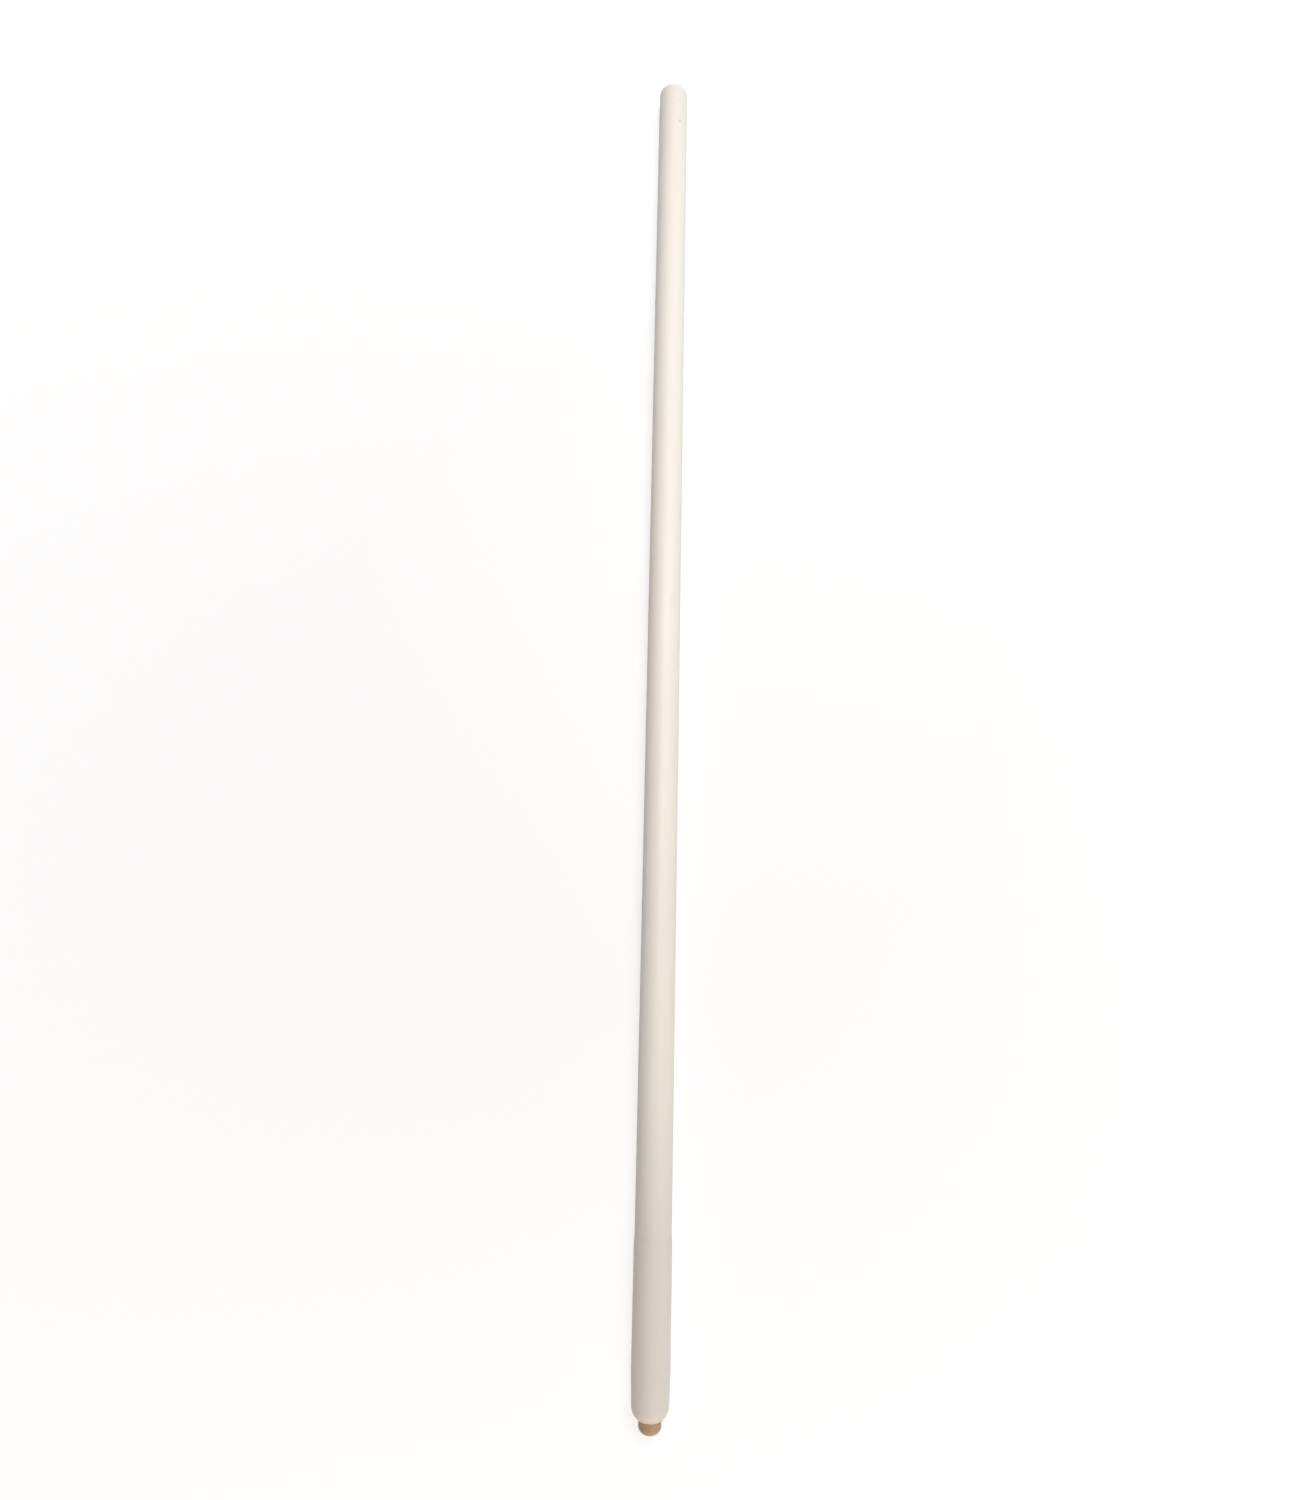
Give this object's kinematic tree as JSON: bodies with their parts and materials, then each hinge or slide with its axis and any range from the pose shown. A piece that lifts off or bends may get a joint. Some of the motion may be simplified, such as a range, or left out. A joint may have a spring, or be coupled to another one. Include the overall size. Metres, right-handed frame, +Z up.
{
  "type": "roller extension pole",
  "caption": "Long straight white-skinned wooden pole with a rounded shoulder and a smooth hardwood stub at one end that fits the handle of a paint roller frame.",
  "frame": {"origin": "the middle of the pole's length and width, on the surface that the pole lies on", "axes": "+Y along the pole from the wooden tip to the end cap, +Z up, +X to the right when looking along +Y"},
  "size_m": [0.0294, 1.219, 0.0294],
  "materials": {
    "white_skin": "satin, warm off-white shrunk plastic film",
    "cap_plastic": "satin, moulded off-white plastic",
    "core_wood": "planed softwood, hidden under the skin",
    "tip_wood": "turned tan hardwood, bare",
    "brad_steel": "dull plated steel"
  },
  "bodies": {
    "root": {"pole_core": "core_wood", "tip": "tip_wood", "tip_brad_a": "brad_steel", "tip_brad_b": "brad_steel", "main_sheath": "white_skin", "tip_sleeve": "white_skin", "end_cap": "cap_plastic", "sheath_brad": "brad_steel"}
  },
  "joints": []
}
